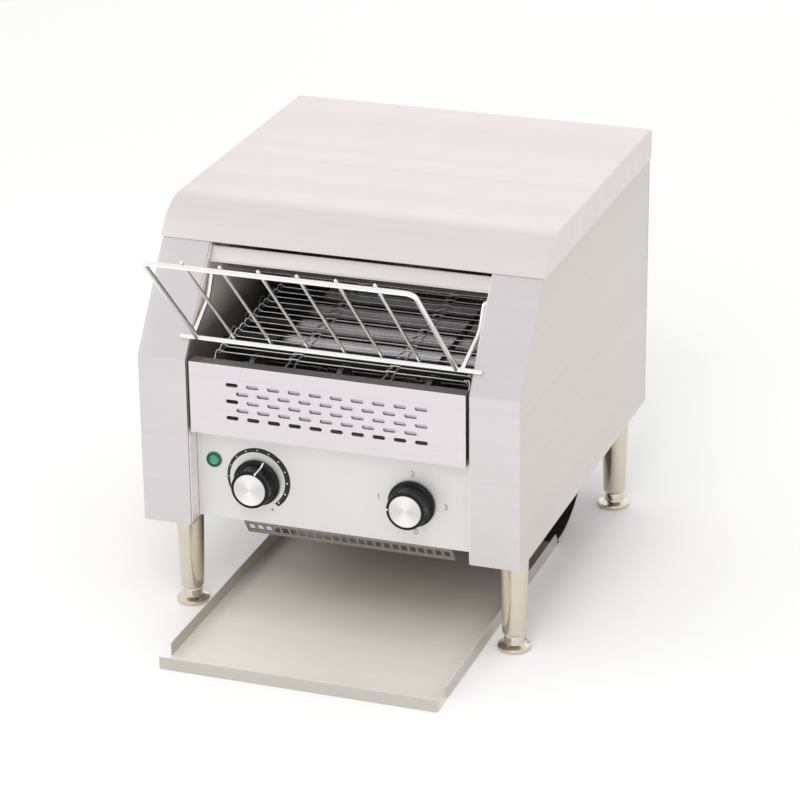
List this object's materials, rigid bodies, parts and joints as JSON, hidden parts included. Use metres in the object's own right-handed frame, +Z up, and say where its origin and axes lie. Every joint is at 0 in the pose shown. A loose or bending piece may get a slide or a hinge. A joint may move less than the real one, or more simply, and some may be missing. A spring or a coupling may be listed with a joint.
{
  "type": "conveyor toaster",
  "caption": "Countertop conveyor toaster: wire belt between quartz heaters, hinged wire loading rack, knobs on a front panel, rear return chute and pull-out tray, on levelling legs.",
  "frame": {"origin": "middle of the footprint, on the counter", "axes": "+X to the machine's right as seen from the front, +Y to its rear, +Z up"},
  "size_m": [0.37, 0.531, 0.4073],
  "materials": {
    "casing": "fine brushed stainless sheet, satin",
    "control_panel": "flat light grey lacquer",
    "inner_steel": "plain mill-finish sheet",
    "heat_darkened_steel": "heat-darkened sheet",
    "tray_steel": "satin stainless sheet",
    "screws": "bright zinc plate",
    "leg_nickel": "warm satin nickel plate",
    "foot_steel": "bright nickel plate",
    "belt_wire": "drawn stainless wire",
    "shaft_steel": "ground bar",
    "sprocket_steel": "dark laser-cut steel",
    "bronze": "oil-filled sintered bronze",
    "quartz": "frosted quartz tube",
    "ceramic": "white glazed ceramic",
    "filament": "dark oxidised resistance wire",
    "reflector": "dulled reflector sheet",
    "rack_chrome": "bright chrome plate on round wire",
    "knob_black": "glossy black",
    "knob_cap": "spun finish with fine circles",
    "regulator_can": "zinc-plated can",
    "switch_body": "moulded black housing",
    "lamp_bezel": "dark green bezel",
    "lamp_lens": "translucent green lens",
    "motor_paint": "dark grey enamel",
    "fan_plastic": "black moulding",
    "terminal_plastic": "cream moulding",
    "board": "green lacquered board",
    "gland_plastic": "black nylon"
  },
  "bodies": {
    "housing": {"side_panel_left": "casing", "side_panel_right": "casing", "inner_wall_left": "inner_steel", "inner_wall_right": "inner_steel", "tower_base_left": "casing", "tower_base_right": "casing", "top_cover": "casing", "rear_panel": "casing", "fasteners": "screws", "front_vent_panel": "casing", "vent_baffle": "inner_steel", "control_panel": "control_panel", "air_strip": "inner_steel", "upper_front_strip": "casing", "compartment_shell": "inner_steel", "compartment_floor": "inner_steel", "return_chute": "heat_darkened_steel", "leg_front_left": "leg_nickel", "leg_front_right": "leg_nickel", "leg_rear_left": "leg_nickel", "leg_rear_right": "leg_nickel", "conveyor_belt": "belt_wire", "shaft_bushes": "bronze", "belt_rails": "belt_wire", "lower_heater_tubes": "quartz", "upper_heater_tubes": "quartz", "heater_caps": "ceramic", "heater_cores": "filament", "lower_reflector": "reflector", "upper_reflector": "reflector", "speed_regulator": "regulator_can", "selector_switch": "switch_body", "pilot_lamp": "lamp_bezel", "pilot_lens": "lamp_lens", "gear_motor": "motor_paint", "drive_chain": "sprocket_steel", "fan_frame": "fan_plastic", "terminal_block": "terminal_plastic", "speed_board": "board", "cable_gland": "gland_plastic"},
    "tray": {"tray": "tray_steel"},
    "rack": {"loading_rack": "rack_chrome"},
    "speed_control": {"speed_knob": "knob_black", "speed_knob_cap": "knob_cap", "speed_spindle": "shaft_steel"},
    "selector_control": {"selector_knob": "knob_black", "selector_knob_cap": "knob_cap", "selector_spindle": "shaft_steel"},
    "drive": {"drive_shaft": "shaft_steel", "drive_sprockets": "sprocket_steel", "drive_chain_wheel": "sprocket_steel"},
    "idler": {"idler_shaft": "shaft_steel", "idler_sprockets": "sprocket_steel"},
    "motor_output": {"motor_shaft": "shaft_steel", "motor_chain_wheel": "sprocket_steel"},
    "fan": {"fan_rotor": "fan_plastic"},
    "foot_1": {"foot_front_left": "foot_steel"},
    "foot_2": {"foot_front_right": "foot_steel"},
    "foot_3": {"foot_rear_left": "foot_steel"},
    "foot_4": {"foot_rear_right": "foot_steel"}
  },
  "joints": [
    {"name": "tray_slide", "type": "slide", "parent": "housing", "child": "tray", "axis": [0, -1, 0], "range_m": [0, 0.29]},
    {"name": "rack_hinge", "type": "hinge", "parent": "housing", "child": "rack", "pos_m": [0, -0.10496, 0.3375], "axis": [-1, 0, 0], "range_deg": [0, 90]},
    {"name": "speed_turn", "type": "hinge", "parent": "housing", "child": "speed_control", "pos_m": [-0.0755, -0.16296, 0.151], "axis": [0, 1, 0], "range_deg": [-165, 105]},
    {"name": "selector_turn", "type": "hinge", "parent": "housing", "child": "selector_control", "pos_m": [0.0755, -0.16296, 0.151], "axis": [0, 1, 0], "range_deg": [-90, 180]},
    {"name": "drive_turn", "type": "hinge", "parent": "housing", "child": "drive", "pos_m": [0, 0.15873, 0.2581], "axis": [1, 0, 0], "continuous": true, "deforming": ["conveyor_belt", "drive_chain"]},
    {"name": "idler_turn", "type": "hinge", "parent": "housing", "child": "idler", "pos_m": [0, -0.11696, 0.2451], "axis": [1, 0, 0], "continuous": true, "deforming": ["conveyor_belt"]},
    {"name": "motor_turn", "type": "hinge", "parent": "housing", "child": "motor_output", "pos_m": [0, 0.05202, 0.15397], "axis": [1, 0, 0], "continuous": true, "deforming": ["drive_chain"]},
    {"name": "fan_turn", "type": "hinge", "parent": "housing", "child": "fan", "pos_m": [-0.062, -0.01296, 0.109], "axis": [0, 0, 1], "continuous": true},
    {"name": "foot_1_height", "type": "slide", "parent": "housing", "child": "foot_1", "axis": [0, 0, -1], "range_m": [0, 0.015]},
    {"name": "foot_2_height", "type": "slide", "parent": "housing", "child": "foot_2", "axis": [0, 0, -1], "range_m": [0, 0.015]},
    {"name": "foot_3_height", "type": "slide", "parent": "housing", "child": "foot_3", "axis": [0, 0, -1], "range_m": [0, 0.015]},
    {"name": "foot_4_height", "type": "slide", "parent": "housing", "child": "foot_4", "axis": [0, 0, -1], "range_m": [0, 0.015]}
  ],
  "couplings": [
    {"joint": "idler_turn", "follows": "drive_turn", "ratio": 1},
    {"joint": "motor_turn", "follows": "drive_turn", "ratio": 1.6}
  ]
}
